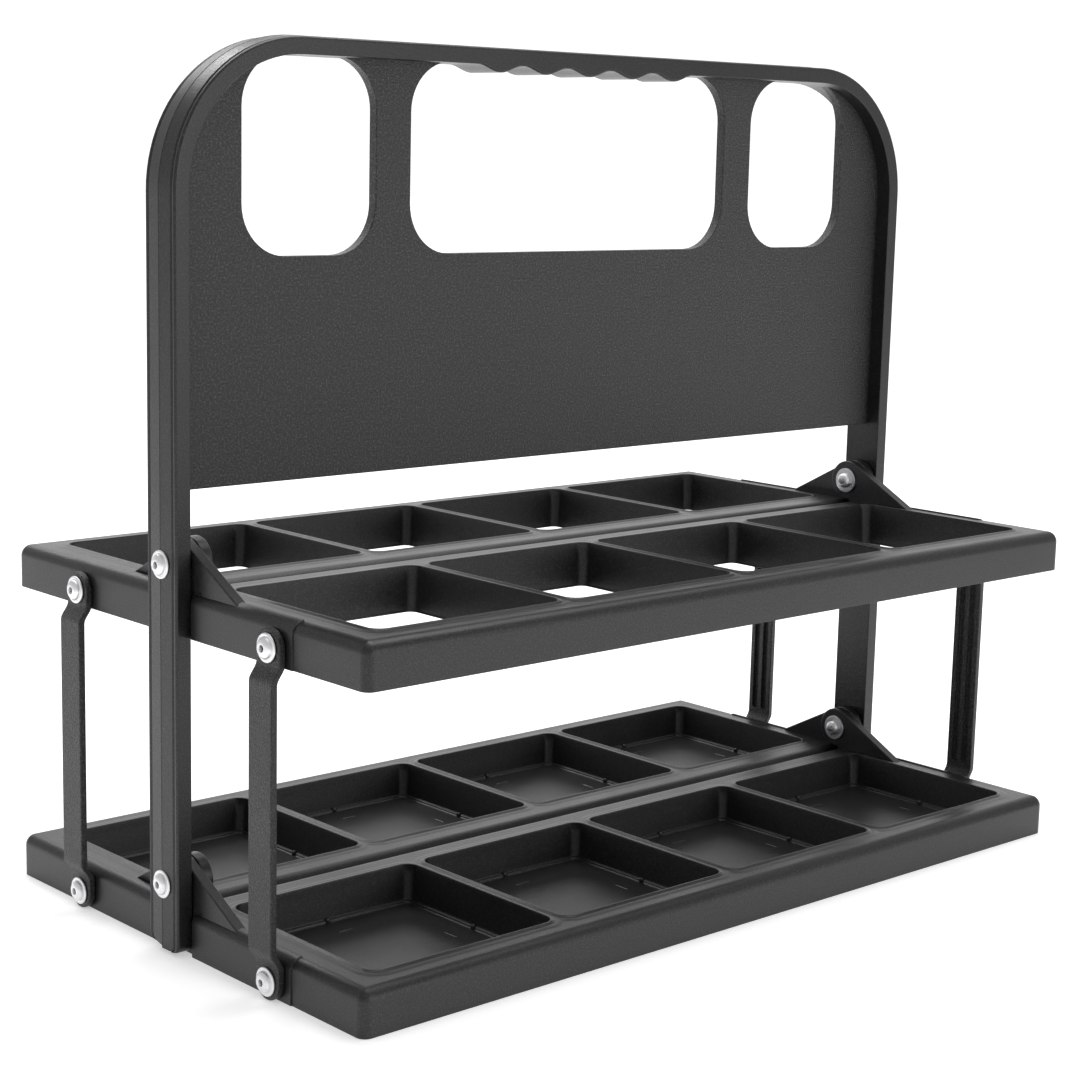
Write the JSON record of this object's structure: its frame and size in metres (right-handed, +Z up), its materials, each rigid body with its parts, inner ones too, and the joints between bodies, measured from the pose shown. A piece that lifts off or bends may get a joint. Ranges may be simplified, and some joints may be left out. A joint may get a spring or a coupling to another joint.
{
  "type": "folding bottle rack",
  "caption": "Folding tiered carrier: trays of square cells that fold up in halves, a handle frame with a finger grip, and riveted side links.",
  "frame": {"origin": "centre of the standing surface, midway between the frame's legs and on the hinge plane", "axes": "+X along the trays' length, front of the carrier towards -Y, +Z up"},
  "size_m": [0.3946, 0.2246, 0.3315],
  "materials": {
    "frame_plastic": "semi-matte black moulded plastic with a fine grain on the web",
    "tray_plastic": "semi-matte black moulded plastic",
    "link_plastic": "matte black moulded plastic with a fine grain",
    "rivet_aluminium": "bright rolled aluminium",
    "washer_zinc": "zinc-plated steel",
    "mandrel_steel": "broken steel stub, dull"
  },
  "bodies": {
    "frame": {"handle_frame": "frame_plastic", "upper_left_hinge_rivet": "rivet_aluminium", "upper_left_hinge_washer": "washer_zinc", "upper_left_hinge_mandrel": "mandrel_steel", "upper_right_hinge_rivet": "rivet_aluminium", "upper_right_hinge_washer": "washer_zinc", "upper_right_hinge_mandrel": "mandrel_steel", "lower_left_hinge_rivet": "rivet_aluminium", "lower_left_hinge_washer": "washer_zinc", "lower_left_hinge_mandrel": "mandrel_steel", "lower_right_hinge_rivet": "rivet_aluminium", "lower_right_hinge_washer": "washer_zinc", "lower_right_hinge_mandrel": "mandrel_steel"},
    "upper_front_half": {"upper_front_tray": "tray_plastic", "upper_front_left_link_rivet": "rivet_aluminium", "upper_front_left_link_mandrel": "mandrel_steel", "upper_front_right_link_rivet": "rivet_aluminium", "upper_front_right_link_mandrel": "mandrel_steel"},
    "upper_rear_half": {"upper_rear_tray": "tray_plastic", "upper_rear_left_link_rivet": "rivet_aluminium", "upper_rear_left_link_mandrel": "mandrel_steel", "upper_rear_right_link_rivet": "rivet_aluminium", "upper_rear_right_link_mandrel": "mandrel_steel"},
    "lower_front_half": {"lower_front_tray": "tray_plastic", "lower_front_left_link_rivet": "rivet_aluminium", "lower_front_left_link_mandrel": "mandrel_steel", "lower_front_right_link_rivet": "rivet_aluminium", "lower_front_right_link_mandrel": "mandrel_steel"},
    "lower_rear_half": {"lower_rear_tray": "tray_plastic", "lower_rear_left_link_rivet": "rivet_aluminium", "lower_rear_left_link_mandrel": "mandrel_steel", "lower_rear_right_link_rivet": "rivet_aluminium", "lower_rear_right_link_mandrel": "mandrel_steel"},
    "front_left_link": {"front_left_link": "link_plastic"},
    "front_right_link": {"front_right_link": "link_plastic"},
    "rear_left_link": {"rear_left_link": "link_plastic"},
    "rear_right_link": {"rear_right_link": "link_plastic"}
  },
  "joints": [
    {"name": "lower_front_fold", "type": "hinge", "parent": "frame", "child": "lower_front_half", "pos_m": [0, 0, 0.0262], "axis": [-1, 0, 0], "range_deg": [0, 90]},
    {"name": "upper_front_fold", "type": "hinge", "parent": "frame", "child": "upper_front_half", "pos_m": [0, 0, 0.1447], "axis": [-1, 0, 0], "range_deg": [0, 90]},
    {"name": "front_left_link_pivot", "type": "hinge", "parent": "lower_front_half", "child": "front_left_link", "pos_m": [-0.1917, -0.062, 0.0068], "axis": [-1, 0, 0], "range_deg": [-90, 0]},
    {"name": "front_right_link_pivot", "type": "hinge", "parent": "lower_front_half", "child": "front_right_link", "pos_m": [0.1917, -0.062, 0.0068], "axis": [-1, 0, 0], "range_deg": [-90, 0]},
    {"name": "lower_rear_fold", "type": "hinge", "parent": "frame", "child": "lower_rear_half", "pos_m": [0, 0, 0.0262], "axis": [1, 0, 0], "range_deg": [0, 90]},
    {"name": "upper_rear_fold", "type": "hinge", "parent": "frame", "child": "upper_rear_half", "pos_m": [0, 0, 0.1447], "axis": [1, 0, 0], "range_deg": [0, 90]},
    {"name": "rear_left_link_pivot", "type": "hinge", "parent": "lower_rear_half", "child": "rear_left_link", "pos_m": [-0.1917, 0.062, 0.0068], "axis": [1, 0, 0], "range_deg": [-90, 0]},
    {"name": "rear_right_link_pivot", "type": "hinge", "parent": "lower_rear_half", "child": "rear_right_link", "pos_m": [0.1917, 0.062, 0.0068], "axis": [1, 0, 0], "range_deg": [-90, 0]}
  ],
  "couplings": [
    {"joint": "upper_front_fold", "follows": "lower_front_fold", "ratio": 1},
    {"joint": "front_left_link_pivot", "follows": "lower_front_fold", "ratio": -1},
    {"joint": "front_right_link_pivot", "follows": "lower_front_fold", "ratio": -1},
    {"joint": "upper_rear_fold", "follows": "lower_rear_fold", "ratio": 1},
    {"joint": "rear_left_link_pivot", "follows": "lower_rear_fold", "ratio": -1},
    {"joint": "rear_right_link_pivot", "follows": "lower_rear_fold", "ratio": -1}
  ]
}
